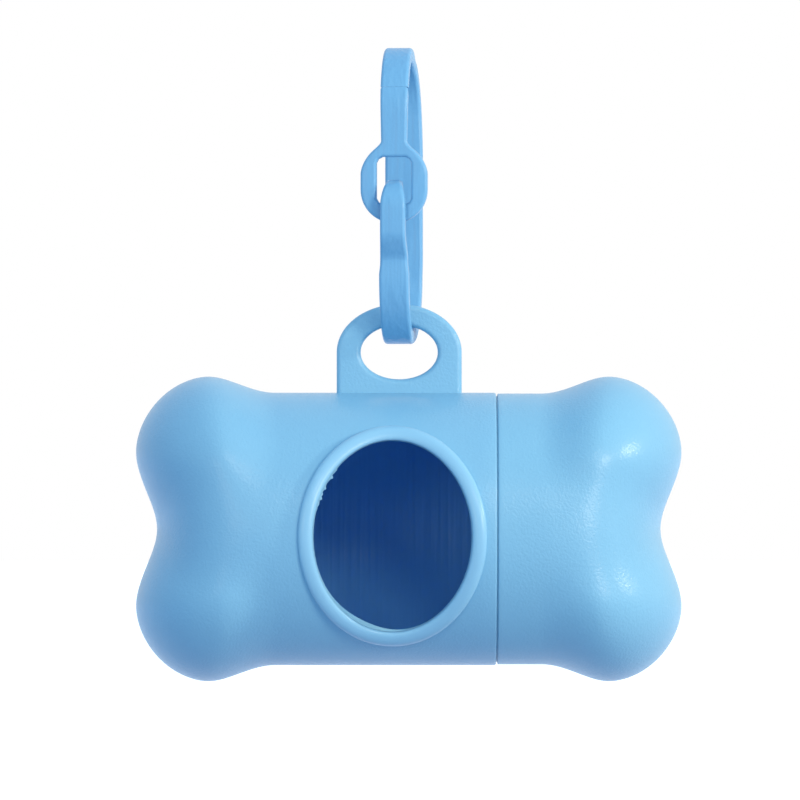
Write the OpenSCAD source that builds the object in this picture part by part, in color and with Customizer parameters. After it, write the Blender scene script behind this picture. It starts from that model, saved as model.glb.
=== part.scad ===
// Bone-shaped dispenser for a roll of waste bags, hanging in a one-piece plastic clip.
// Millimetres, +Z up, -Y is the front with the bag window, +X is the end with the cap.
// The origin is the inside top of the clip's loop, where a lead's ring bears.

/* [Bone] */
// Length of the whole bone, tip to tip
bone_length = 83; // [76:1:95]
// Outside diameter of the barrel between the bone ends
barrel_diameter = 41.4; // [39:0.1:46]
// Wall of the barrel round the bore for the roll
wall = 2.05; // [1.6:0.05:2.6]
// Height of each lobe's middle above or below the bone's axis
lobe_rise = 11.7; // [10.5:0.05:13]
// Half length of a lobe, along the bone
lobe_half_length = 11; // [10:0.05:12.5]
// Half depth of a lobe, front to back
lobe_half_depth = 19.2; // [17:0.05:20]
// Half height of a lobe
lobe_half_height = 11.45; // [10:0.05:12.5]
// How far a lobe leans towards the barrel at its front and back
lobe_lean = 2.4; // [0:0.05:3]
// How far a lobe leans towards the bone's axis at its front and back
lobe_pinch = 1.6; // [0:0.05:2.5]
// Length of the domed end of the bone, from the barrel to the dome's tip
dome_length = 16; // [13:0.1:17]
// How far the dome's tip stays behind the tips of the lobes
dome_inset = 5.6; // [4:0.1:7]

/* [End cap] */
// Length of the cap, from the joint line to the tips of its lobes
cap_length = 28; // [25:0.5:32]
// Open joint line between the case and the cap
joint_gap = 0.2; // [0.1:0.05:0.5]
// How much smaller the cap's barrel is than the case's, on the radius
cap_undersize = 0.12; // [0:0.02:0.3]
// Length of the plug that pushes into the case's bore
plug_length = 3.6; // [3:0.2:6]
// Wall of the plug
plug_wall = 1.25; // [1:0.05:1.8]
// Running clearance of the plug in the bore, on the radius
plug_clearance = 0.05; // [0.02:0.01:0.1]

/* [Bag window] */
// Width of the oval opening
window_width = 23.9; // [18:0.1:26]
// Height of the oval opening
window_height = 28.8; // [20:0.1:30]
// Distance of the window's middle from the bone's middle, towards the closed end
window_offset = 2.45; // [1:0.05:5]
// How far the window's middle lies below the bone's axis
window_drop = 0.9; // [0:0.1:2]
// Width of the raised collar round the opening
collar_width = 2.25; // [1.5:0.05:3]
// Height of the collar above the barrel
collar_height = 0.9; // [0.5:0.1:1.5]

/* [Ear] */
// Width of the ear that the clip goes through
ear_width = 19; // [17:0.5:23]
// Thickness of the ear, front to back
ear_thickness = 3; // [2.6:0.1:3.6]
// Width of the oval hole in the ear
ear_hole_width = 11.7; // [10:0.1:13]
// Height of the oval hole in the ear
ear_hole_height = 8.2; // [7.5:0.1:10]
// Height of the bar above the hole, which rests in the clip
ear_bar = 3.2; // [2.5:0.1:4]
// Material between the hole and the barrel
ear_root = 2.05; // [1.5:0.05:4]
// Chamfer on the edges of the ear and its hole
ear_chamfer = 0.8; // [0.4:0.1:1]
// Distance of the ear from the bone's middle, towards the closed end
ear_offset = 1.45; // [0:0.05:4]
// Free space between the ear's bar and the clip when the case hangs
hang_gap = 0.65; // [0.5:0.05:1.2]

/* [Clip] */
// Height of the clip's loop, outside
clip_height = 45; // [42:0.5:55]
// Depth of the clip's loop, front to back, outside
clip_depth = 21; // [19:0.5:25]
// Thickness of the clip's strap
strap = 2.2; // [1.8:0.1:2.6]
// Width of the front arm and the top bend
arm_width = 4.15; // [3.6:0.05:4.8]
// Width of the spine at the back
spine_width = 5.7; // [5:0.1:7]
// Width of the lower arm and the bottom bend
foot_width = 4.5; // [4:0.1:5]
// Turn of the clip about its own height, seen from above
clip_turn = 4.6; // [0:0.1:8]

/* [Hook] */
// Width of the hook
hook_width = 3.8; // [3:0.1:4.2]
// Thickness of the hook
hook_thickness = 2; // [1.6:0.1:2.4]
// Inside radius of the hook's curl
hook_radius = 2.4; // [2.3:0.05:3]
// Free space between the hook and the ring it holds
hook_clearance = 0.5; // [0.4:0.05:0.8]
// How far the nose stands above the bottom of the ring's hole
nose_reach = 3.75; // [3:0.05:4.5]
// Height above the clip's foot at which the lower arm steps forward to the hook
kink_height = 13.2; // [12.6:0.1:14]

/* [Gate] */
// Distance of the bending line from the top of the clip
bend_drop = 6.2; // [5:0.1:8]
// Width of the joint line at the bend
bend_gap = 0.1; // [0.06:0.02:0.2]
// Angle of the open groove behind the bend, which closes as the gate opens
groove_angle = 42; // [38:1:60]
// Distance of the ring's hole from the top of the clip
ring_hole_drop = 16.8; // [16:0.1:17.6]
// Width of the ring's hole
ring_hole_width = 5.3; // [5:0.1:6.5]
// Height of the ring's hole
ring_hole_height = 7.15; // [6.8:0.05:8]
// Width of the ring round its hole
ring_rim = 2.4; // [1.8:0.1:3]
// Height of the ring's lower bar, which the hook holds
ring_bar = 2.85; // [2.4:0.05:3.2]
// Corner cut of the ring's hole
ring_corner = 0.9; // [0.5:0.1:1.4]

/* [Hidden] */
PLASTIC = [0.45, 0.72, 0.88];
PLASTIC_CAP = [0.50, 0.76, 0.90];
PLASTIC_GATE = [0.40, 0.68, 0.86];

// Facets of the bone ends: steps round the bone and steps from its axis to the barrel, for
// the skin and for the room inside.
AROUND = 80;
RINGS = 20;
ROOM_AROUND = 48;
ROOM_RINGS = 14;
// Halvings of the search for a point on the bone end.
SEARCH_STEPS = 18;
// Half the step over which the skin's direction is measured.
PROBE = 0.01;
// Least part of the wall's direction that may point away from the bone end's root.
LEAST_FACING = 0.5;
// Steps round an oval.
OVAL_STEPS = 64;
$fn = 96;

// The bone end's roundness: exponents of the dome and the lobes, weight of a lobe's field,
// and the blend widths from lobe to barrel and from lobe to lobe.
DOME_POWER = 2.6;
LOBE_POWER = 1.85;
LOBE_WEIGHT = 1.15;
BARREL_BLEND = 3.2;
LOBE_BLEND = 14;
// Length of round barrel in a bone end's mesh, before its dome.
END_ROOT = 3;
// How far the bone end's mesh stays inside the round barrel where they meet.
MESH_INSET = 0.03;
// Overlap that joins two solids of one piece, and overshoot of a cut past a face.
JOIN = 0.6;
PAST = 1;

barrel_r = barrel_diameter / 2;
bore_r = barrel_r - wall;
half_length = bone_length / 2;
lobe_x = half_length - lobe_half_length;
dome_x = half_length - dome_inset - dome_length;
end_x = dome_x - END_ROOT;
joint_x = half_length - cap_length;
cap_barrel_r = barrel_r - cap_undersize;
plug_r = bore_r - plug_clearance;
plug_bore_r = plug_r - plug_wall;

clip_r = clip_depth / 2;
clip_top = strap;
clip_foot = clip_top - clip_height;
top_bend_z = clip_top - clip_r;
foot_bend_z = clip_foot + clip_r;

ear_hole_z = clip_foot + strap + hang_gap - ear_hole_height / 2;
ear_half_height = ear_hole_height / 2 + ear_bar;
bone_z = ear_hole_z - ear_hole_height / 2 - ear_root - barrel_r;

bend_z = clip_top - bend_drop;
bend_rise = asin((bend_z - top_bend_z) / clip_r);
bend = [-clip_r * cos(bend_rise), bend_z];
ring_hole_top = clip_top - ring_hole_drop;
ring_hole_foot = ring_hole_top - ring_hole_height;
ring_r = ring_hole_width / 2 + ring_rim;
ring_foot = ring_hole_foot - ring_bar;
hook_y = hook_radius - hook_clearance - clip_r;
hook_z = ring_hole_foot + nose_reach - hook_radius - hook_thickness;
hook_front = hook_y - hook_radius - hook_thickness;
kink_z = clip_foot + kink_height;
step_rise = 3.6;

// ---- bone ends ----

// Lesser of two fields, rounded over the width k where they cross.
function blend(a, b, k) =
    let (h = max(k - abs(a - b), 0) / k) min(a, b) - h * h * k / 4;

// Field of one lobe, below zero inside; side is 1 for the upper lobe and -1 for the lower.
function lobe_field(x, y, z, side) =
    let (
        share = pow(y / lobe_half_depth, 2),
        along = pow(abs(x - lobe_x + lobe_lean * share) / lobe_half_length, LOBE_POWER),
        deep = pow(abs(y) / lobe_half_depth, LOBE_POWER),
        rise = side * (lobe_rise - lobe_pinch * share),
        high = pow(abs(z - rise) / lobe_half_height, LOBE_POWER)
    )
    (pow(along + deep + high, 1 / LOBE_POWER) - 1) * lobe_half_length * LOBE_WEIGHT;

// Field of the domed barrel of radius r: below zero inside.
function dome_field(x, y, z, r) =
    let (
        round = pow(norm([y, z]) / r, DOME_POWER),
        along = pow(max(x - dome_x, 0) / dome_length, DOME_POWER)
    )
    (pow(round + along, 1 / DOME_POWER) - 1) * r;

// Field of a whole bone end that points along +X.
function end_field(p, r) =
    let (
        upper = lobe_field(p.x, p.y, p.z, 1),
        lower = lobe_field(p.x, p.y, p.z, -1)
    )
    blend(dome_field(p.x, p.y, p.z, r), blend(upper, lower, LOBE_BLEND), BARREL_BLEND);

// Distance from the middle of the bone end's root to its skin along a direction.
function reach(dir, r, near = 0, far = 60, steps = SEARCH_STEPS) =
    let (middle = (near + far) / 2)
    steps == 0 ? middle :
    end_field([end_x, 0, 0] + dir * middle, r) < 0
        ? reach(dir, r, middle, far, steps - 1)
        : reach(dir, r, near, middle, steps - 1);

// Outward direction of the bone end's skin at a point of it.
function facing(p, r) =
    let (
        rise = [
            for (step = PROBE * [[1, 0, 0], [0, 1, 0], [0, 0, 1]])
                end_field(p + step, r) - end_field(p - step, r)
        ]
    )
    rise / norm(rise);

// Point of the skin along a direction, or of the face that lies under it by depth. No point
// is farther from the bone's axis than limit.
function skin_point(dir, r, depth, limit) =
    let (
        root = [end_x, 0, 0],
        far = reach(dir, r),
        slant = depth == 0 ? 1 : max(dir * facing(root + far * dir, r), LEAST_FACING),
        off_axis = max(norm([dir.y, dir.z]), PROBE)
    )
    root + dir * min(far - depth / slant, limit / off_axis);

// Bone end along +X with a flat root at end_x, for a barrel of radius r. The mesh has rings
// from the axis out and steps around it.
module bone_end(r, depth = 0, limit = bone_length, rings = RINGS, around = AROUND) {
    skin = [
        for (i = [1 : rings])
            for (j = [0 : around - 1])
                let (
                    tilt = 90 * i / rings,
                    turn = 360 * j / around,
                    dir = [cos(tilt), sin(tilt) * cos(turn), sin(tilt) * sin(turn)]
                )
                skin_point(dir, r, depth, i == rings ? min(r, limit) - MESH_INSET : limit)
    ];
    tip = skin_point([1, 0, 0], r, depth, limit);
    last = (rings - 1) * around;
    bands = [
        for (i = [0 : rings - 2])
            for (j = [0 : around - 1])
                let (k = (j + 1) % around, a = i * around, b = a + around)
                    for (face = [[a + j, b + k, b + j], [a + j, a + k, b + k]]) face
    ];
    point = [for (j = [0 : around - 1]) [around * rings, (j + 1) % around, j]];
    root = [[for (j = [0 : around - 1]) last + j]];
    polyhedron(points = concat(skin, [tip]), faces = concat(bands, point, root));
}

// Round bar along X from x0 to x1.
module bar_x(r, x0, x1) {
    translate([x0, 0, 0])
        rotate([0, 90, 0])
            cylinder(r = r, h = x1 - x0);
}

// Room inside a bone end for a barrel of radius r: a bore from x0 that ends under the skin of
// the dome and lobes. It is nowhere wider than the bore, so that the mould's core comes out.
module cavity(r, bore, x0) {
    bar_x(bore, x0, end_x);
    bone_end(r, depth = wall, limit = bore, rings = ROOM_RINGS, around = ROOM_AROUND);
}

function oval(width, height) = [
    for (i = [0 : OVAL_STEPS - 1])
        let (a = 360 * i / OVAL_STEPS) [width / 2 * cos(a), height / 2 * sin(a)]
];

// Upright oval bar along -Y, from y0 forward by depth.
module oval_bar(width, height, y0, depth) {
    translate([0, y0, 0])
        rotate([90, 0, 0])
            linear_extrude(height = depth)
                polygon(oval(width, height));
}

// ---- ear ----

// Outline of the ear about the middle of its hole, inset all round.
module ear_outline(inset) {
    half_width = ear_width / 2 - inset;
    arch = [
        for (i = [0 : OVAL_STEPS / 2])
            let (a = 360 * i / OVAL_STEPS) [half_width * cos(a), (ear_half_height - inset) * sin(a)]
    ];
    // The foot stays inside the barrel's wall.
    foot = bone_z + barrel_r - wall / 2 - ear_hole_z;
    polygon(concat([[half_width, foot]], arch, [[-half_width, foot]]));
}

// Ear plate: a core of full outline between two thinner cheeks that give the chamfer.
module ear_plate() {
    cheek = ear_chamfer / 2;
    steps = [[ear_thickness, cheek], [ear_thickness - ear_chamfer, 0]];
    for (step = steps)
        translate([0, step[0] / 2, ear_hole_z])
            rotate([90, 0, 0])
                linear_extrude(height = step[0])
                    ear_outline(step[1]);
}

// Oval hole through the ear, widened at both faces.
module ear_hole() {
    translate([0, 0, ear_hole_z]) {
        oval_bar(ear_hole_width, ear_hole_height, ear_thickness / 2 + PAST, ear_thickness + 2 * PAST);
        for (side = [-1, 1])
            rotate([90, 0, 0])
                mirror([0, 0, side < 0 ? 1 : 0])
                    translate([0, 0, ear_thickness / 2 - ear_chamfer])
                        linear_extrude(
                            height = 2 * ear_chamfer,
                            slices = 1,
                            scale = [
                                1 + 4 * ear_chamfer / ear_hole_width,
                                1 + 4 * ear_chamfer / ear_hole_height
                            ]
                        )
                            polygon(oval(ear_hole_width, ear_hole_height));
    }
}

// ---- case and cap ----

module place_bone() {
    translate([ear_offset, 0, bone_z])
        children();
}

module case_body() {
    color(PLASTIC)
        difference() {
            union() {
                place_bone() {
                    mirror([1, 0, 0])
                        bone_end(barrel_r);
                    bar_x(barrel_r, -end_x, joint_x - joint_gap);
                    // Raised oval pad that leaves the collar once the window is cut.
                    intersection() {
                        translate([-window_offset, 0, -window_drop])
                            oval_bar(
                                window_width + 2 * collar_width,
                                window_height + 2 * collar_width,
                                -bore_r / 2,
                                barrel_r
                            );
                        bar_x(barrel_r + collar_height, -end_x, joint_x - joint_gap);
                    }
                }
                ear_plate();
            }
            place_bone() {
                mirror([1, 0, 0])
                    cavity(barrel_r, bore_r, -joint_x - PAST);
                translate([-window_offset, 0, -window_drop])
                    oval_bar(window_width, window_height, -bore_r / 4, barrel_r + PAST);
            }
            ear_hole();
        }
}

module end_cap() {
    color(PLASTIC_CAP)
        place_bone()
            difference() {
                union() {
                    bone_end(cap_barrel_r);
                    bar_x(cap_barrel_r, joint_x, end_x);
                    bar_x(plug_r, joint_x - plug_length, joint_x + JOIN);
                }
                cavity(cap_barrel_r, plug_bore_r, joint_x - plug_length - PAST);
            }
}

// ---- clip ----

// Turns the clip about its height, as it hangs in the photograph's view.
module turn_clip() {
    rotate([0, 0, -clip_turn])
        children();
}

// Extrudes a side view, drawn as [depth, height], across the clip's width.
module across(width) {
    translate([-width / 2, 0, 0])
        rotate([90, 0, 90])
            linear_extrude(height = width)
                children();
}

// Extrudes a front view, drawn as [width, height], from y0 forward by depth.
module forward(y0, depth) {
    translate([0, y0, 0])
        rotate([90, 0, 0])
            linear_extrude(height = depth)
                children();
}

// Side view of a racing-track shape with the loop's bend centres.
module track(r) {
    for (z = [top_bend_z, foot_bend_z])
        translate([0, z])
            circle(r = r);
    translate([-r, foot_bend_z])
        square([2 * r, top_bend_z - foot_bend_z]);
}

module strap_loop() {
    difference() {
        track(clip_r);
        track(clip_r - strap);
    }
}

// Side view of the loop's front from the bend down to z1. The bend's end face leans by
// lean degrees, and stands off by shift along the strap.
module front_region(lean, shift, z1) {
    far = clip_depth;
    start = bend + shift * [sin(bend_rise), cos(bend_rise)];
    outward = [-cos(bend_rise), sin(bend_rise)];
    inward = [cos(bend_rise + lean), -sin(bend_rise + lean)];
    polygon([
        start + outward * strap,
        start,
        start + inward * 2 * strap,
        [-strap / 2, top_bend_z],
        [-strap / 2, z1],
        [-far, z1],
        [-far, bend_z]
    ]);
}

// Side view of the hook: a step forward, a straight run and a curl into the ring.
module hook_side() {
    back = hook_y - hook_radius;
    inner = -clip_r + strap;
    polygon([
        [hook_front, hook_z],
        [hook_front, kink_z + step_rise],
        [-clip_r, kink_z],
        [-clip_r, kink_z - JOIN * 2],
        [inner, kink_z - JOIN * 2],
        [inner, kink_z + JOIN / 3],
        [back, kink_z + step_rise + JOIN / 2],
        [back, hook_z]
    ]);
    difference() {
        translate([hook_y, hook_z])
            circle(r = hook_radius + hook_thickness);
        translate([hook_y, hook_z])
            circle(r = hook_radius);
        translate([hook_front - PAST, hook_z - clip_r])
            square([clip_depth, clip_r]);
        translate([hook_y + JOIN, hook_z - PAST])
            square([clip_r, clip_r]);
    }
}

// Half of a front view given as [half width, height] points, mirrored to a full outline.
module mirrored(half) {
    count = len(half);
    polygon(concat(half, [for (i = [count - 1 : -1 : 0]) [-half[i].x, half[i].y]]));
}

module clip() {
    arm = arm_width / 2;
    spine = spine_width / 2;
    foot = foot_width / 2;
    hook = hook_width / 2;
    nose_top = hook_z + hook_radius + hook_thickness;
    color(PLASTIC)
        turn_clip()
            intersection() {
                union() {
                    difference() {
                        across(2 * spine_width)
                            strap_loop();
                        across(3 * spine_width)
                            front_region(-groove_angle / 2, bend_gap / 2, kink_z - JOIN);
                    }
                    across(2 * spine_width)
                        hook_side();
                }
                union() {
                    forward(0, clip_depth)
                        mirrored([
                            [arm, clip_top + PAST],
                            [arm, ring_hole_top],
                            [0.5 * hook, nose_top + PAST],
                            [0.5 * hook, nose_top],
                            [0.84 * hook, nose_top - hook_thickness / 2],
                            [hook, hook_z],
                            [hook, kink_z],
                            [foot, foot_bend_z],
                            [foot, clip_foot - PAST]
                        ]);
                    forward(clip_depth, clip_depth)
                        mirrored([
                            [arm, clip_top + PAST],
                            [arm, clip_top - strap],
                            [spine, top_bend_z - strap],
                            [spine, foot_bend_z + strap],
                            [foot, clip_foot + strap],
                            [foot, clip_foot - PAST]
                        ]);
                }
            }
}

// Front of the gate as a thick plate: the arm that widens into the ring.
module gate_plate() {
    arm = arm_width / 2;
    upper = ring_hole_top - ring_r + ring_rim;
    lower = ring_hole_foot + ring_r - ring_bar;
    shoulder = upper + ring_r;
    for (z = [upper, lower])
        forward(0, clip_depth)
            translate([0, z])
                circle(r = ring_r);
    forward(0, clip_depth)
        translate([-ring_r, lower])
            square([2 * ring_r, upper - lower]);
    forward(0, clip_depth)
        mirrored([
            [arm, clip_top + PAST],
            [arm, shoulder + ring_rim / 4],
            [arm + ring_rim / 2, shoulder - ring_rim / 3],
            [arm, upper]
        ]);
}

module ring_hole_outline() {
    half = ring_hole_width / 2;
    mirrored([
        [half - ring_corner, ring_hole_top],
        [half, ring_hole_top - ring_corner],
        [half, ring_hole_foot + ring_corner],
        [half - ring_corner, ring_hole_foot]
    ]);
}

module clip_gate() {
    color(PLASTIC_GATE)
        turn_clip()
            difference() {
                intersection() {
                    across(3 * ring_r)
                        strap_loop();
                    across(4 * ring_r)
                        front_region(groove_angle / 2, -bend_gap / 2, ring_foot - PAST);
                    gate_plate();
                }
                forward(0, clip_depth)
                    ring_hole_outline();
            }
}

clip();
clip_gate();
case_body();
end_cap();
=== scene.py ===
import math
import random

import bmesh
import bpy
import numpy as np
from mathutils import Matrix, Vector

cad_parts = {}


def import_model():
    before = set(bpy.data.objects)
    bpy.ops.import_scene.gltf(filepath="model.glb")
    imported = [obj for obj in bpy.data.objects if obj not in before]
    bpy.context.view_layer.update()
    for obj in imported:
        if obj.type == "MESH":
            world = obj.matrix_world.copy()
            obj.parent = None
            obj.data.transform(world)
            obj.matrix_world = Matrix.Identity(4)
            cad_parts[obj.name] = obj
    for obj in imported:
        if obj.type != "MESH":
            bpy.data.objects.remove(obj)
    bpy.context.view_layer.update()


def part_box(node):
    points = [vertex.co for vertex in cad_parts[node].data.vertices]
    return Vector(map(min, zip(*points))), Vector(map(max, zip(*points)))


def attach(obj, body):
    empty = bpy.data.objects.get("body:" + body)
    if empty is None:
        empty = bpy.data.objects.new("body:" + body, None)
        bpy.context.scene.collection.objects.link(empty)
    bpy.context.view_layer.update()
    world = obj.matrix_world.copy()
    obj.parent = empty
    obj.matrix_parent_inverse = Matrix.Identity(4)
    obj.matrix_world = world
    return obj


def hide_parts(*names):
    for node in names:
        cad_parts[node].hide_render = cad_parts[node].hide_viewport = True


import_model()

# A bone-shaped dispenser for a roll of waste bags, hanging from a one-piece plastic clip.
# Lengths are millimetres until a mesh is made. +X is the capped end, -Y the front, +Z up.
MM = 0.001

case_low, case_high = (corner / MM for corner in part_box("case_body"))
cap_low, cap_high = (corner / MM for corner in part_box("end_cap"))
clip_low, clip_high = (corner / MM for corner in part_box("clip"))

# ---- sizes ----

# Bone: its middle, barrel and the joint between case and cap.
BONE_X = (case_low.x + cap_high.x) / 2
BONE_Z = (cap_low.z + cap_high.z) / 2
BONE_MIDDLE = np.array([BONE_X, 0, BONE_Z])
HALF_LENGTH = (cap_high.x - case_low.x) / 2
BARREL_R = case_high.y
CAP_R = cap_high.y
WALL = 2.05
BORE_R = BARREL_R - WALL
CAP_LENGTH = 28.0
JOINT_GAP = 0.2
JOINT_X = HALF_LENGTH - CAP_LENGTH

# Rounded rims at the joint: the case's outside and inside, and the cap's outside.
CASE_RIM = 0.32
BORE_RIM = 0.2
CAP_RIM = 0.18

# Plug of the cap: its fit in the bore, its wall and its bevels outside and inside.
PLUG_FIT = 0.05
PLUG_WALL = 1.25
PLUG_R = BORE_R - PLUG_FIT
PLUG_BORE_R = PLUG_R - PLUG_WALL
PLUG_END = cap_low.x - BONE_X
PLUG_BEVEL = 0.3
PLUG_BORE_BEVEL = 0.1
# Shoulder that lies in the joint line, between cap and plug: its depth and how near the case it stops.
SHOULDER_DEPTH = 0.5
SHOULDER_FIT = 0.02
SHOULDER_R = BARREL_R - SHOULDER_DEPTH
SHOULDER_END = JOINT_X - JOINT_GAP + SHOULDER_FIT

# Bone ends: lobes, dome and how softly they flow together.
LOBE_RISE = 11.7
LOBE_HALF = np.array([11.0, 19.2, 11.45])
LOBE_X = HALF_LENGTH - LOBE_HALF[0]
LOBE_LEAN = 2.4
LOBE_PINCH = 1.6
DOME_LENGTH = 16.0
DOME_INSET = 5.6
DOME_X = HALF_LENGTH - DOME_INSET - DOME_LENGTH
DOME_POWER = 2.6
LOBE_POWER = 1.85
LOBE_WEIGHT = 1.15
BARREL_BLEND = 3.2
LOBE_BLEND = 14.0
# The bone's end is taken to reach this far into the round barrel.
END_OVERLAP = 3.0
END_X = DOME_X - END_OVERLAP

# Window with its raised collar, whose foot sinks into the barrel.
WINDOW = np.array([23.9, 28.8]) / 2
WINDOW_AT = np.array([-2.45, -0.9])
COLLAR_WIDTH = 2.25
COLLAR_HEIGHT = 0.9
COLLAR_FOOT = 0.12
COLLAR_SINK = 0.5
CROWN_POWER = 0.85
COLLAR_LEVEL = 0.7
# The hole cut in the barrel is wider than the window by this, which the collar covers.
COLLAR_COVER = 0.7
# How far the cutter reaches out of the barrel, and how far it stops from the axis.
CUTTER_REACH = 5.0
# Thin lip inside the window: its width, and where a crescent and ragged flash widen it.
LIP = 0.08
CRESCENT = 0.5
CRESCENT_AT = math.radians(248)
CRESCENT_SPREAD = math.radians(24)
FLASH = 0.45
FLASH_AT = math.radians(148)
FLASH_SPREAD = math.radians(13)
# Section of the lip, as (across, height over the bore): its foot in the wall and the bevel of
# its edge. Its thickness grows from the edge to the window's side.
LIP_FOOT = (1.2, 0.1)
LIP_BEVEL = (0.1, 0.12)
LIP_EDGE = 0.3
LIP_ROOT = 0.45

# Ear, whose hole hangs on the clip.
EAR_WIDTH = 19.0
EAR_THICKNESS = 3.0
EAR_HOLE = np.array([11.7, 8.2]) / 2
EAR_BAR = 3.2
EAR_Z = case_high.z - EAR_BAR - EAR_HOLE[1]
EAR_ROUNDING = 0.75

# Clip: a strap bent to a long loop. It widens down the spine from SPREAD_Z.
CLIP_R = 10.5
STRAP = clip_high.z
STRAP_MIDDLE = CLIP_R - STRAP / 2
CLIP_FOOT = clip_low.z
TOP_BEND_Z = STRAP - CLIP_R
FOOT_BEND_Z = CLIP_FOOT + CLIP_R
ARM_WIDTH = 4.2
SPINE_WIDTH = 5.7
FOOT_WIDTH = 4.5
SPREAD_Z = -0.4
SPREAD_DROP = 12.6
CLIP_TURN = math.radians(4.6)
STRAP_ROUNDING = 0.5
# Rounding takes at most this share of a section's narrower side.
ROUNDING_SHARE = 0.45

# Kink: the lower arm steps forward there, easing in below it, and narrows to the hook.
KINK_Z = CLIP_FOOT + 13.2
KINK_RISE = 3.6
KINK_EASE = 0.7
KINK_LENGTH = KINK_RISE + 0.9
KINK_LEAN = 0.75
KINK_WIDTH = 4.15
LOWER_ARM_WIDTH = 4.2

# Hook: it stands in front of the strap and curls back to a narrower, rounder nose.
HOOK_WIDTH = 3.8
HOOK_THICKNESS = 2.0
HOOK_RADIUS = 2.4
HOOK_STEP = 0.5
HOOK_Y = HOOK_RADIUS - HOOK_STEP - CLIP_R
HOOK_Z = -22.4
NOSE_TAPER = 0.34
NOSE_POWER = 2.2
NOSE_ROUNDING = 0.2
# Blunt end of the nose: how far on, and the share of the section that is left there.
NOSE_END = ((0.3, 0.97), (0.5, 0.86), (0.6, 0.6))

# Moulded bend that parts the gate from the strap: a narrow gap with a groove behind it.
BEND_Z = STRAP - 6.2
BEND_GAP = 0.03
GROOVE = math.radians(42)
# What runs on past the bend and is cut off there: degrees of strap, and millimetres of gate.
STRAP_SPARE = 8
GATE_SPARE = 1.5

# Gate: an arm that widens into a ring with an upright hole.
RING_HOLE = np.array([5.3, 7.15]) / 2
RING_HOLE_TOP = STRAP - 16.8
RING_RIM = 2.4
RING_BAR = 2.85
RING_CORNER = 0.9
RING_CORNER_CUT = 0.35 * RING_CORNER
RING_POWER = 1.75
NECK_BLEND = 1.2
ARM_TAPER = 0.16
GATE_ROUNDING = 0.45

# Mesh fineness: steps round the bone, steps of tilt from its axis to the barrel, outside and in
# the room, and steps along the case's barrel.
AROUND = 192
RINGS = 72
ROOM_RINGS = 36
BARREL_STEPS = 14
# Steps round the window, over the collar's crown and round the cutter.
COLLAR_STEPS = 260
CROWN_STEPS = 19
CUTTER_STEPS = 160
# Steps round the clip's top and foot, and round each corner of its section.
TOP_STEPS = 44
FOOT_STEPS = 48
CORNER_STEPS = 4
# Edges that turn by more than this stay sharp: on the bone, and on plates and the strap.
BONE_SHARP = math.radians(40)
PLATE_SHARP = math.radians(50)
# Points closer than this are one.
WELD = 0.004

# Search for the bone's skin: how far out it looks and how often it halves that stretch.
SEARCH_REACH = 60.0
SEARCH_STEPS = 30
# The wall is measured square to the skin, which is felt out by steps of PROBE. Where the skin
# is steep, the way through the wall grows to no more than 1 / LEAST_FACING of its thickness.
PROBE = 0.01
LEAST_FACING = 0.5
# A tilt that is as good as none.
NO_TILT = 1e-6


# ---- bone form ----

def blend(a, b, width):
    """Lesser of two fields, rounded over a width where they cross."""
    near = np.maximum(width - np.abs(a - b), 0) / width
    return np.minimum(a, b) - near * near * width / 4


def lobe_field(p, side):
    """Field of one lobe, below zero inside; its front and back lean to the barrel and the axis."""
    share = (p[..., 1] / LOBE_HALF[1]) ** 2
    rise = side * (LOBE_RISE - LOBE_PINCH * share)
    middle = np.stack([LOBE_X - LOBE_LEAN * share, np.zeros_like(share), rise], axis=-1)
    off = (np.abs(p - middle) / LOBE_HALF) ** LOBE_POWER
    return (off.sum(-1) ** (1 / LOBE_POWER) - 1) * LOBE_HALF[0] * LOBE_WEIGHT


def dome_field(p, radius):
    """Field of the domed barrel, below zero inside."""
    across = (np.hypot(p[..., 1], p[..., 2]) / radius) ** DOME_POWER
    along = (np.maximum(p[..., 0] - DOME_X, 0) / DOME_LENGTH) ** DOME_POWER
    return ((across + along) ** (1 / DOME_POWER) - 1) * radius


def end_field(p, radius):
    """Field of a whole bone end that points along +X."""
    lobes = blend(lobe_field(p, 1), lobe_field(p, -1), LOBE_BLEND)
    return blend(dome_field(p, radius), lobes, BARREL_BLEND)


def ring_at(x, radius):
    """Round ring of points at x, of the bone's barrel or bore."""
    turn = np.linspace(0, 2 * math.pi, AROUND, endpoint=False)
    return np.stack([np.full(AROUND, x), radius * np.cos(turn), radius * np.sin(turn)], axis=-1)


def end_points(tilt, radius, depth=0.0, limit=math.inf):
    """Ring of points of the bone end at one tilt from its axis: on the skin, or under it by depth
    and then no further than limit from the axis."""
    direction = ring_at(math.cos(tilt), math.sin(tilt))
    root = np.array([END_X, 0, 0])
    near, far = np.zeros(AROUND), np.full(AROUND, SEARCH_REACH)
    for _ in range(SEARCH_STEPS):
        middle = (near + far) / 2
        inside = end_field(root + direction * middle[:, None], radius) < 0
        near, far = np.where(inside, middle, near), np.where(inside, far, middle)
    if depth:
        skin = root + direction * near[:, None]
        steps = np.eye(3) * PROBE
        rise = np.stack([end_field(skin + s, radius) - end_field(skin - s, radius) for s in steps], axis=-1)
        facing = (direction * rise).sum(-1) / np.linalg.norm(rise, axis=-1)
        near = near - depth / np.maximum(facing, LEAST_FACING)
    return root + direction * np.minimum(near, limit / max(math.sin(tilt), NO_TILT))[:, None]


def tip(radius, depth=0.0):
    """Point of the skin on the bone's axis, or under it by depth."""
    return end_points(NO_TILT, radius, depth=depth).mean(axis=0)


def bone_end_rings(radius):
    """Rings of the outer skin from the tip to the barrel, at even steps of tilt."""
    return [end_points(math.pi / 2 * i / RINGS, radius) for i in range(1, RINGS)] + [ring_at(END_X, radius)]


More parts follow.
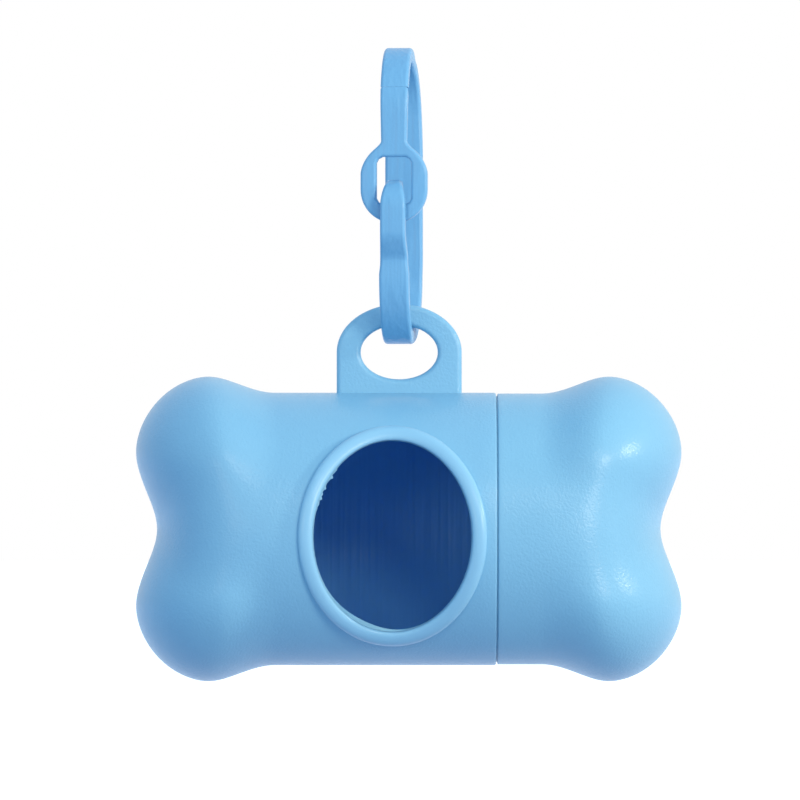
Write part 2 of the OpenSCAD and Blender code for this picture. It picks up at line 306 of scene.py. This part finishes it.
def room_rings(radius, bore):
    """Rings of the room inside a bone end, from the barrel back to the tip."""
    angles = [math.pi / 2 * i / ROOM_RINGS for i in range(ROOM_RINGS - 1, 0, -1)]
    return [ring_at(END_X, bore)] + [end_points(a, radius, depth=WALL, limit=bore) for a in angles]


def barrel_rings(x0, x1, radius, steps):
    """Round rings between x0 and x1, without the rings at these two ends."""
    return [ring_at(x, radius) for x in np.linspace(x0, x1, steps + 1)[1:-1]]


def rounded_edge(x, radius, rounding, along, outward, start, stop, steps=5):
    """Rings of a rounded rim: angles run from the barrel's face (0) to the end face (90).
    along and outward, each 1 or -1, point out of the material."""
    rings = []
    for angle in np.radians(np.linspace(start, stop, steps)):
        rings.append(
            ring_at(
                x - along * rounding * (1 - math.sin(angle)),
                radius - outward * rounding * (1 - math.cos(angle)),
            )
        )
    return rings


# ---- mesh making ----

def put(name, data):
    """New object of the data, in the scene."""
    thing = bpy.data.objects.new(name, data)
    bpy.context.scene.collection.objects.link(thing)
    return thing


def mesh_of(name, points, faces):
    """Mesh in metres from points in millimetres."""
    mesh = bpy.data.meshes.new(name)
    mesh.from_pydata([tuple(p) for p in points * MM], [], faces)
    return mesh


def made_mesh(thing):
    """Mesh of an object as its curve settings or its modifiers make it."""
    bpy.context.view_layer.update()
    return bpy.data.meshes.new_from_object(thing.evaluated_get(bpy.context.evaluated_depsgraph_get()))


def edit(mesh, change):
    """Applies change, a function of the mesh in its editable form."""
    bm = bmesh.new()
    bm.from_mesh(mesh)
    change(bm)
    bm.to_mesh(mesh)
    bm.free()


def face_outwards(mesh):
    """Turns the faces of a mesh outwards."""
    edit(mesh, lambda bm: bmesh.ops.recalc_face_normals(bm, faces=bm.faces))


def weld(mesh):
    """Joins the doubled points of a mesh."""
    edit(mesh, lambda bm: bmesh.ops.remove_doubles(bm, verts=bm.verts, dist=WELD * MM))


def cut_flat(mesh, at, normal, among=lambda middle: True):
    """Cuts away what lies on the normal's side of a plane, and closes the cut. It cuts only
    faces whose middle, in metres, passes among."""

    def cut(bm):
        faces = [face for face in bm.faces if among(face.calc_center_median())]
        edges = dict.fromkeys(edge for face in faces for edge in face.edges)
        points = dict.fromkeys(point for face in faces for point in face.verts)
        made = bmesh.ops.bisect_plane(
            bm,
            geom=[*points, *edges, *faces],
            plane_co=Vector(at) * MM,
            plane_no=Vector(normal),
            clear_outer=True,
        )
        rim = [part for part in made["geom_cut"] if isinstance(part, bmesh.types.BMEdge)]
        bmesh.ops.holes_fill(bm, edges=rim)

    edit(mesh, cut)


def move_points(mesh, move):
    """Applies move to the mesh's points, given and returned in millimetres."""
    points = np.empty(len(mesh.vertices) * 3)
    mesh.vertices.foreach_get("co", points)
    moved = move(points.reshape(-1, 3) / MM) * MM
    mesh.vertices.foreach_set("co", moved.ravel())
    mesh.update()


def dress(name, mesh, body, material, replaced=()):
    """Piece of a mesh in metres, with its material, body and the nodes it stands for."""
    piece = put(name, mesh)
    mesh.materials.append(material)
    face_outwards(mesh)
    mesh.shade_smooth()
    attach(piece, body)
    if replaced:
        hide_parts(*replaced)
    return piece


def new_piece(name, points, faces, body, material, replaced=()):
    """Piece from points in millimetres, dressed as above."""
    mesh = mesh_of(name, points, faces)
    mesh.validate()
    return dress(name, mesh, body, material, replaced)


def crisp(piece):
    """Keeps flat faces flat in the light next to their rounded edges, and cut ends sharp."""
    piece.data.set_sharp_from_angle(angle=PLATE_SHARP)
    modifier = piece.modifiers.new("even normals", "WEIGHTED_NORMAL")
    modifier.keep_sharp = True
    modifier.weight = 80


def band_faces(rings, count):
    """Faces between each closed ring of count points and the next."""
    faces = []
    for i in range(rings - 1):
        a, b = i * count, (i + 1) * count
        for j in range(count):
            k = (j + 1) % count
            faces.append((a + j, a + k, b + k, b + j))
    return faces


def skin_rings(rings, first, last):
    """Points and faces of a closed skin through rings, closed by a point at each end."""
    points = np.vstack([*rings, [first], [last]])
    count = len(rings[0])
    faces = band_faces(len(rings), count)
    top, bottom = len(rings) * count, len(rings) * count + 1
    end = (len(rings) - 1) * count
    for j in range(count):
        k = (j + 1) % count
        faces.append((top, k, j))
        faces.append((bottom, end + j, end + k))
    return points, faces


def sweep(sections):
    """Points and faces of a bar through closed sections, with flat ends."""
    count = len(sections[0])
    points = np.vstack(sections)
    faces = band_faces(len(sections), count)
    faces.append(tuple(range(count)))
    faces.append(tuple(range(len(points) - 1, len(points) - count - 1, -1)))
    return points, faces


def rounded_box(width, thickness, rounding):
    """Outline of a bar's section as (across, outward) points, with rounded corners."""
    outline = []
    for corner in range(4):
        start = corner * math.pi / 2
        centre = np.array([
            (width / 2 - rounding) * (1 if corner in (0, 3) else -1),
            (thickness / 2 - rounding) * (1 if corner in (0, 1) else -1),
        ])
        for k in range(CORNER_STEPS + 1):
            angle = start + math.pi / 2 * k / CORNER_STEPS
            outline.append(centre + rounding * np.array([math.cos(angle), math.sin(angle)]))
    return np.array(outline)


def oval(half_width, half_height, angles):
    """Points of an oval at the given angles."""
    return [(half_width * math.cos(a), half_height * math.sin(a)) for a in angles]


def plate(outlines, thickness, rounding):
    """Mesh of a flat plate with holes and rounded edges, as (x, z, outward) points in metres."""
    curve = bpy.data.curves.new("plate", "CURVE")
    curve.dimensions = "2D"
    curve.fill_mode = "BOTH"
    curve.extrude = (thickness / 2 - rounding) * MM
    curve.bevel_depth = rounding * MM
    curve.bevel_resolution = 3
    curve.offset = -rounding * MM
    for outline in outlines:
        spline = curve.splines.new("POLY")
        spline.points.add(len(outline) - 1)
        for point, (x, z) in zip(spline.points, outline):
            point.co = (x * MM, z * MM, 0, 1)
        spline.use_cyclic_u = True
    shape = put("plate", curve)
    mesh = made_mesh(shape)
    bpy.data.objects.remove(shape)
    bpy.data.curves.remove(curve)
    weld(mesh)
    return mesh


# ---- materials ----

def srgb(code):
    """Linear colour of an sRGB hex value."""
    parts = [int(code[i:i + 2], 16) / 255 for i in (1, 3, 5)]
    linear = [c / 12.92 if c <= 0.04045 else ((c + 0.055) / 1.055) ** 2.4 for c in parts]
    return (*linear, 1.0)


def empty_tree(owner):
    """Node tree of a material or world, with nothing in it."""
    owner.use_nodes = True
    owner.node_tree.nodes.clear()
    return owner.node_tree


def add(tree, kind, settings=(), links=()):
    """Adds a node, sets its properties and sockets, and links its inputs."""
    node = tree.nodes.new(kind)
    for key, value in dict(settings).items():
        if isinstance(key, str) and hasattr(node, key):
            setattr(node, key, value)
        else:
            node.inputs[key].default_value = value
    for key, socket in dict(links).items():
        tree.links.new(socket, node.inputs[key])
    return node


def moulded_plastic(name, colour, shade, polish, grain, streaks=(1, 1, 1), streak_depth=0.0):
    """Moulded polypropylene: even colour with faint cloudiness, and a fine spark-eroded grain
    from the mould that breaks up each highlight. grain is the depth of that texture in mm.
    streaks squeezes a second texture, the marks along which the plastic flowed or was drawn.
    polish is the strength of the closed, glossier skin that the mould leaves."""
    material = bpy.data.materials.new(name)
    tree = empty_tree(material)
    place = add(tree, "ShaderNodeTexCoord").outputs["Object"]
    # Cloudiness of the pigment, about 9 mm across.
    clouds = add(tree, "ShaderNodeTexNoise", {"Scale": 1 / (9 * MM), "Detail": 3.0}, {"Vector": place})
    tint = add(
        tree, "ShaderNodeMix",
        {"data_type": "RGBA", 6: srgb(colour), 7: srgb(shade)},
        {0: clouds.outputs[0]},
    )
    # Mould grain, 0.4 mm across: about three times the real grain, so that it shows.
    fine = add(tree, "ShaderNodeTexNoise", {"Scale": 1 / (0.4 * MM), "Detail": 2.0}, {"Vector": place})
    roughness = add(
        tree, "ShaderNodeMapRange",
        {"To Min": 0.40, "To Max": 0.52},
        {"Value": fine.outputs[0]},
    )
    # Flow or draw marks, 0.9 mm across and long one way.
    squeezed = add(tree, "ShaderNodeVectorMath", {"operation": "MULTIPLY", 1: streaks}, {0: place})
    marks = add(
        tree, "ShaderNodeTexNoise",
        {"Scale": 1 / (0.9 * MM), "Detail": 1.0},
        {"Vector": squeezed.outputs[0]},
    )
    flow = add(
        tree, "ShaderNodeBump",
        {"Strength": 1.0, "Distance": streak_depth * MM},
        {"Height": marks.outputs[0]},
    )
    bump = add(
        tree, "ShaderNodeBump",
        {"Strength": 1.0, "Distance": grain * MM},
        {"Height": fine.outputs[0], "Normal": flow.outputs[0]},
    )
    shader = add(
        tree, "ShaderNodeBsdfPrincipled",
        {
            "IOR": 1.49, "Metallic": 0.0, "Specular IOR Level": 0.3 * polish,
            "Coat Weight": polish, "Coat Roughness": 0.25, "Coat IOR": 1.49,
        },
        {"Base Color": tint.outputs[2], "Roughness": roughness.outputs[0], "Normal": bump.outputs[0]},
    )
    tree.links.new(bump.outputs[0], shader.inputs["Coat Normal"])
    add(tree, "ShaderNodeOutputMaterial", (), {"Surface": shader.outputs[0]})
    return material


case_plastic = moulded_plastic("satin blue polypropylene, case", "#8BC1DB", "#85BCD8", 0.46, 0.06)
cap_plastic = moulded_plastic("satin blue polypropylene, cap", "#8DC3DC", "#87BFD9", 0.46, 0.06)
# The collar is the case's plastic with a smoother, glossier skin; its lighter colour is painted sheen of
# the crown.
rim_plastic_painted_sheen = moulded_plastic("smooth blue polypropylene with painted sheen, collar", "#98CBE3", "#93C7E1", 0.5, 0.01)
clip_plastic = moulded_plastic(
    "satin blue polypropylene, clip", "#7FB9DC", "#75B1D7", 0.4, 0.02, (1, 1, 0.06), 0.12
)
# The bore is the case's plastic with draw marks and less gloss; its deeper, more saturated blue is painted
# shade of the dark hollow.
bore_plastic_painted_shade = moulded_plastic(
    "blue polypropylene with draw marks and painted shade, bore", "#6FB4EE", "#66ADEA", 0.14, 0.01, (1, 0.04, 0.04), 0.2
)


# ---- case ----

def window_cutter():
    """Upright oval bar along Y, which cuts the window through the front of the barrel."""
    turn = np.linspace(0, 2 * math.pi, CUTTER_STEPS, endpoint=False)
    half_width, half_height = WINDOW + COLLAR_COVER
    x = BONE_X + WINDOW_AT[0] + half_width * np.cos(turn)
    z = BONE_Z + WINDOW_AT[1] + half_height * np.sin(turn)
    ends = (-BARREL_R - CUTTER_REACH, -CUTTER_REACH)
    points, faces = sweep([np.stack([x, np.full(CUTTER_STEPS, y), z], axis=-1) for y in ends])
    mesh = mesh_of("cutter", points, faces)
    face_outwards(mesh)
    return put("cutter", mesh)


def case_shell():
    """Closed end, barrel and bore of the case as one skin, with the window cut through."""
    # The closed end is a bone end mirrored to -X.
    mirror = np.array([-1, 1, 1])
    end = JOINT_X - JOINT_GAP
    rings = [ring * mirror for ring in bone_end_rings(BARREL_R)]
    rings += barrel_rings(-END_X, end - CASE_RIM, BARREL_R, BARREL_STEPS)
    rings += rounded_edge(end, BARREL_R, CASE_RIM, 1, 1, 0, 90)
    rings += rounded_edge(end, BORE_R, BORE_RIM, 1, -1, 90, 0)
    rings += barrel_rings(end - BORE_RIM, -END_X, BORE_R, BARREL_STEPS)
    rings += [ring * mirror for ring in room_rings(BARREL_R, BORE_R)]
    points, faces = skin_rings(rings, tip(BARREL_R) * mirror, tip(BARREL_R, WALL) * mirror)
    points = points + BONE_MIDDLE
    piece = new_piece("case_shell", points, faces, "case", case_plastic, ["case_body"])
    cutter = window_cutter()
    window = piece.modifiers.new("window", "BOOLEAN")
    window.object = cutter
    window.solver = "EXACT"
    mesh = made_mesh(piece)
    piece.modifiers.clear()
    piece.data = mesh
    bpy.data.objects.remove(cutter)
    finish_and_shade_bore(mesh)
    mesh.set_sharp_from_angle(angle=BONE_SHARP)


def finish_and_shade_bore(mesh):
    """Gives the faces of the room, which face the bone's axis, the bore's draw marks and a deeper blue that
    is painted shade of the hollow.
    """
    mesh.materials.append(bore_plastic_painted_shade)
    for face in mesh.polygons:
        from_axis = np.array(face.center) / MM - BONE_MIDDLE
        # The room's faces look at the axis along the barrel, and at the bone's middle beyond it.
        if abs(from_axis[0]) < END_X:
            from_axis[0] = 0
        if np.dot(from_axis, np.array(face.normal)) < 0:
            face.material_index = 1


def lip(turn, rough):
    """Width of the thin lip left inside the window: a crescent low on the closed end's side, and
    ragged flash above it, where the mould's two halves shut."""
    crescent = math.exp(-(((turn - CRESCENT_AT) / CRESCENT_SPREAD) ** 2))
    ragged = math.exp(-(((turn - FLASH_AT) / FLASH_SPREAD) ** 4))
    return LIP + CRESCENT * crescent + FLASH * ragged * rough


def collar_crown():
    """Rounded top of the collar's section, as (across, height over the barrel) points."""
    crown = []
    for angle in np.radians(np.linspace(180, 0, CROWN_STEPS)):
        side = math.cos(angle)
        across = COLLAR_WIDTH / 2 * (1 + math.copysign(abs(side) ** CROWN_POWER, side))
        rise = math.sin(angle) ** CROWN_POWER
        crown.append((across, COLLAR_FOOT + (COLLAR_HEIGHT - COLLAR_FOOT) * rise))
    return crown


def collar_section(turn, crown, rough):
    """Section of the collar at one turn round the window: lip, crown and outer foot."""
    edge = WINDOW * np.array([math.cos(turn), math.sin(turn)])
    normal = np.array([math.cos(turn) / WINDOW[0], math.sin(turn) / WINDOW[1]])
    normal /= np.linalg.norm(normal)
    inner = -lip(turn, rough)
    profile = [
        (LIP_FOOT[0], LIP_FOOT[1] - WALL),
        (inner + LIP_BEVEL[0], -WALL),
        (inner, LIP_BEVEL[1] - WALL),
        (inner, LIP_EDGE - WALL),
        (0, LIP_ROOT - WALL),
    ]
    # The crown faces forward more than the barrel does above and below the window.
    level = COLLAR_LEVEL * math.sin(turn) ** 2 / COLLAR_WIDTH
    profile += [(across, height + level * across) for across, height in crown]
    profile.append((COLLAR_WIDTH, -COLLAR_SINK))
    section = []
    for across, height in profile:
        x, z = edge + WINDOW_AT + normal * across
        section.append((x, -math.sqrt((BARREL_R + height) ** 2 - z * z), z))
    return np.array(section)


def window_collar():
    """Rounded collar that lines the window and stands proud of the barrel."""
    seed = random.Random(4)
    crown = collar_crown()
    turns = np.linspace(0, 2 * math.pi, COLLAR_STEPS, endpoint=False)
    sections = [collar_section(turn, crown, seed.random()) for turn in turns]
    # The last section is the first again, and the weld closes the ring there.
    points = np.vstack(sections + sections[:1]) + BONE_MIDDLE
    faces = band_faces(COLLAR_STEPS + 1, len(sections[0]))
    piece = new_piece("window_collar", points, faces, "case", rim_plastic_painted_sheen)
    weld(piece.data)


def ear():
    """Ear plate with a rounded edge and an oval hole; its foot stands in the barrel."""
    half = EAR_WIDTH / 2
    foot = BONE_Z + BARREL_R - WALL / 2 - EAR_Z
    right = [(half, z) for z in np.linspace(foot, 0, 8)[:-1]]
    arch = oval(half, EAR_HOLE[1] + EAR_BAR, np.linspace(0, math.pi, 61))
    left = [(-half, z) for z in np.linspace(0, foot, 8)[1:]]
    hole = oval(*EAR_HOLE, np.linspace(0, 2 * math.pi, 72, endpoint=False))
    mesh = plate([right + arch + left, hole], EAR_THICKNESS, EAR_ROUNDING)
    move_points(mesh, lambda p: np.stack([p[:, 0], -p[:, 2], p[:, 1] + EAR_Z], axis=-1))
    crisp(dress("ear", mesh, "case", case_plastic))


# ---- cap ----

def cap_shell():
    """Cap with its shoulder and plug as one skin."""
    rings = bone_end_rings(CAP_R)
    rings += barrel_rings(END_X, JOINT_X + CAP_RIM, CAP_R, 6)
    rings += rounded_edge(JOINT_X, CAP_R, CAP_RIM, -1, 1, 0, 90, steps=4)
    profile = [
        (JOINT_X, SHOULDER_R),
        (SHOULDER_END, SHOULDER_R),
        (SHOULDER_END, PLUG_R),
        (PLUG_END + PLUG_BEVEL, PLUG_R),
        (PLUG_END, PLUG_R - PLUG_BEVEL),
        (PLUG_END, PLUG_BORE_R + PLUG_BORE_BEVEL),
        (PLUG_END + PLUG_BORE_BEVEL, PLUG_BORE_R),
    ]
    rings += [ring_at(x, radius) for x, radius in profile]
    rings += barrel_rings(PLUG_END + PLUG_BORE_BEVEL, END_X, PLUG_BORE_R, 5)
    rings += room_rings(CAP_R, PLUG_BORE_R)
    points, faces = skin_rings(rings, tip(CAP_R), tip(CAP_R, WALL))
    points = points + BONE_MIDDLE
    piece = new_piece("cap_shell", points, faces, "cap", cap_plastic, ["end_cap"])
    finish_and_shade_bore(piece.data)
    piece.data.set_sharp_from_angle(angle=BONE_SHARP)


# ---- clip ----

def mix(a, b, share):
    """Value that goes from a to b as share goes from 0 to 1."""
    return a + (b - a) * share


def turned(points):
    """Turns clip points about the clip's height, as it hangs in the photograph."""
    c, s = math.cos(-CLIP_TURN), math.sin(-CLIP_TURN)
    x, y, z = points[:, 0], points[:, 1], points[:, 2]
    return np.stack([c * x - s * y, s * x + c * y, z], axis=-1)


def arc_points(centre, radius, start, stop, steps):
    """Points of an arc in the clip's side view, with the outward direction at each."""
    angles = np.radians(np.linspace(start, stop, steps + 1))
    directions = [np.array([math.cos(a), math.sin(a)]) for a in angles]
    return [(np.array(centre) + radius * outward, outward) for outward in directions]


def spine_width(point):
    """Width of the strap: narrow in front and over the top, widest down the back."""
    y, z = point
    if z > FOOT_BEND_Z:
        share = min(max((SPREAD_Z - z) / SPREAD_DROP, 0), 1) ** 0.5 if y > 0 else 0
        return mix(ARM_WIDTH, SPINE_WIDTH, share)
    return mix(FOOT_WIDTH, SPINE_WIDTH, min(max(y / CLIP_R, 0), 1))


def loop_path():
    """Middle line of the loop from the bend over the top, down the back and round the foot."""
    bend_rise = math.degrees(math.asin((BEND_Z - TOP_BEND_Z) / CLIP_R))
    top = arc_points((0, TOP_BEND_Z), STRAP_MIDDLE, 180 - bend_rise + STRAP_SPARE, 0, TOP_STEPS)
    heights = np.linspace(TOP_BEND_Z, FOOT_BEND_Z, 15)[1:-1]
    spine = [(np.array([STRAP_MIDDLE, z]), np.array([1.0, 0])) for z in heights]
    foot = arc_points((0, FOOT_BEND_Z), STRAP_MIDDLE, 0, -180, FOOT_STEPS)
    return [(point, outward, spine_width(point), STRAP) for point, outward in top + spine + foot]


def kink_path():
    """Middle line of the lower arm and its step forward at the kink."""
    forward = np.array([-1.0, 0])
    front = -STRAP_MIDDLE
    hook_front = HOOK_Y - HOOK_RADIUS - HOOK_THICKNESS / 2
    slope = np.array([-KINK_RISE, hook_front - front])
    slope = slope / np.linalg.norm(slope)
    path = [(np.array([front, KINK_Z - 2 * KINK_EASE]), forward, LOWER_ARM_WIDTH, STRAP)]
    for share in np.linspace(0, 1, 9):
        ease = share * share * (3 - 2 * share)
        point = np.array([mix(front, hook_front, ease), KINK_Z - KINK_EASE + KINK_LENGTH * share])
        outward = mix(forward, slope, KINK_LEAN * math.sin(math.pi * share))
        outward = outward / np.linalg.norm(outward)
        width, thickness = mix(KINK_WIDTH, HOOK_WIDTH, ease), mix(STRAP, HOOK_THICKNESS, ease)
        path.append((point, outward, width, thickness))
    return path


def hook_path():
    """Middle line of the hook's curl and its blunt nose."""
    radius = HOOK_RADIUS + HOOK_THICKNESS / 2
    path = []
    for point, outward in arc_points((HOOK_Y, HOOK_Z), radius, 180, 90, 14):
        rise = max(point[1] - HOOK_Z, 0) / radius
        path.append((point, outward, HOOK_WIDTH * (1 - NOSE_TAPER * rise ** NOSE_POWER), HOOK_THICKNESS))
    end, outward, width, thickness = path[-1]
    for step, share in NOSE_END:
        path.append((end + np.array([step, 0]), outward, width * share, thickness * share))
    return path


def strap_section(point, outward, width, thickness):
    """Section of the strap at a point of its middle line in side view."""
    # The hook's nose is rounder than the rest of the strap.
    at_hook = point[0] < 0 and abs(point[1] - HOOK_Z) < 2 * HOOK_RADIUS
    nose = max(outward[1], 0) if at_hook else 0
    rounding = min(STRAP_ROUNDING + NOSE_ROUNDING * nose, ROUNDING_SHARE * min(width, thickness))
    outline = rounded_box(width, thickness, rounding)
    return np.column_stack([outline[:, 0], point + outline[:, 1:] * outward])


def bend_plane(lean, shift):
    """Point and upward normal of the plane where the strap ends at the moulded bend."""
    rise = math.asin((BEND_Z - TOP_BEND_Z) / CLIP_R)
    at = np.array([-CLIP_R * math.cos(rise), BEND_Z]) + shift * np.array([math.sin(rise), math.cos(rise)])
    inward = np.array([math.cos(rise + lean), -math.sin(rise + lean)])
    return (0, *at), (0, -inward[1], inward[0])


def at_bend(middle):
    """Whether a face of the strap is in the front of the loop's top, where the bend cuts it."""
    return middle.y < -0.3 * CLIP_R * MM and middle.z > TOP_BEND_Z * MM


def clip():
    """Strap of the clip, from the moulded bend round the loop to the hook's nose."""
    points, faces = sweep([strap_section(*place) for place in loop_path() + kink_path() + hook_path()])
    mesh = mesh_of("clip_strap", points, faces)
    at, normal = bend_plane(-GROOVE / 2, BEND_GAP / 2)
    cut_flat(mesh, at, [-n for n in normal], at_bend)
    move_points(mesh, turned)
    crisp(dress("clip_strap", mesh, "clip", clip_plastic, ["clip"]))


def mirrored(side):
    """Right side's (x, z) points, mirrored to the left and in the opposite order."""
    return [(-x, z) for x, z in reversed(side)]


def gate_outlines():
    """Outlines of the gate laid flat: its arm and ring, and the ring's hole."""
    ring_r = RING_HOLE[0] + RING_RIM
    hole_foot = RING_HOLE_TOP - 2 * RING_HOLE[1]
    upper = RING_HOLE_TOP - ring_r + RING_RIM
    lower = hole_foot + ring_r - RING_BAR
    side = []
    for z in np.linspace(BEND_Z + GATE_SPARE, upper, 60):
        arm = ARM_WIDTH / 2 - ARM_TAPER * np.interp(z, (upper + ring_r, BEND_Z), (1, 0))
        shoulder = ring_r * (1 - min((z - upper) / ring_r, 1) ** RING_POWER) ** (1 / RING_POWER)
        side.append((float(-blend(-arm, -shoulder, NECK_BLEND)), z))
    for x, z in oval(ring_r, ring_r, np.linspace(0, math.pi / 2, 18)):
        side.append((x, lower - z))
    half = RING_HOLE[0]
    hole_side = [
        (half - RING_CORNER, RING_HOLE_TOP),
        (half - RING_CORNER_CUT, RING_HOLE_TOP - RING_CORNER_CUT),
        (half, RING_HOLE_TOP - RING_CORNER),
        (half, hole_foot + RING_CORNER),
        (half - RING_CORNER_CUT, hole_foot + RING_CORNER_CUT),
        (half - RING_CORNER, hole_foot),
    ]
    return side + mirrored(side[:-1]), hole_side + mirrored(hole_side)


def bent(points):
    """Stands the flat gate up in front and bends its upper end over the loop's top."""
    x, rise, out = points[:, 0], points[:, 1] - TOP_BEND_Z, points[:, 2]
    angle = np.maximum(rise, 0) / STRAP_MIDDLE
    radius = STRAP_MIDDLE + out
    y = -radius * np.cos(angle)
    z = TOP_BEND_Z + np.where(rise > 0, radius * np.sin(angle), rise)
    return np.stack([x, y, z], axis=-1)


def gate():
    """Gate: an arm that widens into a ring, bent to the loop's top at its upper end."""
    mesh = plate(gate_outlines(), STRAP, GATE_ROUNDING)
    move_points(mesh, bent)
    cut_flat(mesh, *bend_plane(GROOVE / 2, -BEND_GAP / 2))
    move_points(mesh, turned)
    crisp(dress("gate_ring", mesh, "gate", clip_plastic, ["clip_gate"]))


case_shell()
window_collar()
ear()
cap_shell()
clip()
gate()


# ---- stage ----

# From here on, lengths are metres, apart from the camera's sensor and lens in millimetres.
# The photograph looks along +Y, nearly without perspective, at 0.152 mm a pixel. The clip's
# top is in its row 48, and x = 0 is just left of its middle.
PIXEL = 0.152 * MM
PICTURE = 800
CLIP_TOP_ROW = 48
CAMERA_X = 0.8 * PIXEL
CAMERA_Z = clip_high.z * MM - (PICTURE / 2 - CLIP_TOP_ROW) * PIXEL
CAMERA_DISTANCE = 1.5
SENSOR = 36.0
FLOOR_DROP = 0.031
FLOOR_HALF = 3.0
# Strength at which the floor is seen: nearly white, with room for the object's shadow.
FLOOR_GLOW = 0.94
LAMP_DISTANCE = 0.9
LAMP_COLOUR = "#FFF4E0"


def camera():
    """Camera in front, framed as the photograph is."""
    data = bpy.data.cameras.new("camera")
    data.sensor_width = SENSOR
    data.lens = SENSOR * CAMERA_DISTANCE / (PICTURE * PIXEL)
    data.clip_end = 20
    shot = put("camera", data)
    shot.location = (CAMERA_X, -CAMERA_DISTANCE, CAMERA_Z)
    shot.rotation_euler = (math.pi / 2, 0, 0)
    bpy.context.scene.camera = shot


def area_light(name, azimuth, elevation, size, power):
    """Soft, slightly warm lamp that looks at the bone; azimuth 0 is in front and 90 at the
    capped end."""
    data = bpy.data.lights.new(name, "AREA")
    data.shape = "DISK"
    data.size = size
    data.energy = power
    data.color = srgb(LAMP_COLOUR)[:3]
    lamp = put(name, data)
    a, e = math.radians(azimuth), math.radians(elevation)
    back = Vector((math.sin(a) * math.cos(e), -math.cos(a) * math.cos(e), math.sin(e)))
    lamp.location = Vector(BONE_MIDDLE * MM) + back * LAMP_DISTANCE
    lamp.rotation_euler = back.to_track_quat("Z", "Y").to_euler()


def in_view(tree):
    """Socket that is 1 where the camera looks, straight or by a reflection, and 0 for lighting."""
    path = add(tree, "ShaderNodeLightPath")
    seen = path.outputs["Is Camera Ray"]
    for way in ("Is Glossy Ray", "Is Transmission Ray"):
        either = add(tree, "ShaderNodeMath", {"operation": "MAXIMUM"}, {0: seen, 1: path.outputs[way]})
        seen = either.outputs[0]
    return seen


def world(shade):
    """Plain surround: white where it is seen, and a blue shade where it lights the object."""
    sky = bpy.data.worlds.new("studio")
    bpy.context.scene.world = sky
    tree = empty_tree(sky)
    colour = add(
        tree, "ShaderNodeMix", {"data_type": "RGBA", 6: srgb(shade), 7: (1, 1, 1, 1)}, {0: in_view(tree)}
    )
    light = add(tree, "ShaderNodeBackground", (), {"Color": colour.outputs[2]})
    add(tree, "ShaderNodeOutputWorld", (), {"Surface": light.outputs[0]})


def pale_board():
    """Matt board of a pale blue-grey, which is seen as white and sends a soft blue light upwards."""
    paint = bpy.data.materials.new("matt pale blue board")
    tree = empty_tree(paint)
    board = add(
        tree, "ShaderNodeBsdfPrincipled",
        {"Base Color": srgb("#86A2BE"), "Roughness": 0.9, "Emission Color": (1, 1, 1, 1)},
    )
    lift = add(tree, "ShaderNodeMath", {"operation": "MULTIPLY", 1: FLOOR_GLOW}, {0: in_view(tree)})
    tree.links.new(lift.outputs[0], board.inputs["Emission Strength"])
    add(tree, "ShaderNodeOutputMaterial", (), {"Surface": board.outputs[0]})
    return paint


def floor():
    """Plain pale floor under the hanging dispenser."""
    mesh = bpy.data.meshes.new("floor")
    r = FLOOR_HALF
    z = case_low.z * MM - FLOOR_DROP
    mesh.from_pydata([(-r, -r, z), (r, -r, z), (r, r, z), (-r, r, z)], [], [(0, 1, 2, 3)])
    mesh.materials.append(pale_board())
    put("floor", mesh)


camera()
world("#9DCAEF")
floor()
area_light("key", 35, 12, 0.26, 2.8)
area_light("top", 12, 27, 0.2, 0.8)
area_light("side", 76, 19, 0.1, 2.9)
area_light("low", 30, -12, 0.5, 0.8)
area_light("left", -24, 6, 0.3, 0.6)

bpy.context.scene.view_settings.view_transform = "Standard"
